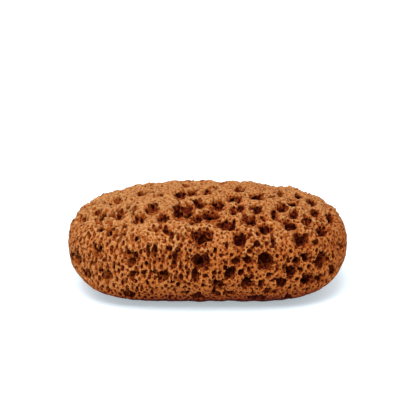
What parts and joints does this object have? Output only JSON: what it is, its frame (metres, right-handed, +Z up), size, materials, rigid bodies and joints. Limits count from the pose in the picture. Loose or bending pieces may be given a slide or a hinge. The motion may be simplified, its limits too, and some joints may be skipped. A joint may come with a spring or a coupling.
{
  "type": "sea sponge",
  "caption": "Natural sea sponge, a rounded hand-size oval with a flat underside, pitted all over with fine pores and larger hollows, for washing and wiping.",
  "frame": {"origin": "centre of the flat underside", "axes": "+X along the length, +Z up out of the rounded top, the face seen in the picture towards -Y"},
  "size_m": [0.165, 0.1058, 0.057],
  "materials": {
    "sponge": "dry, matt and fibrous, tan on its ridges and dark brown in its hollows"
  },
  "bodies": {
    "root": {"sponge": "sponge"}
  },
  "joints": []
}
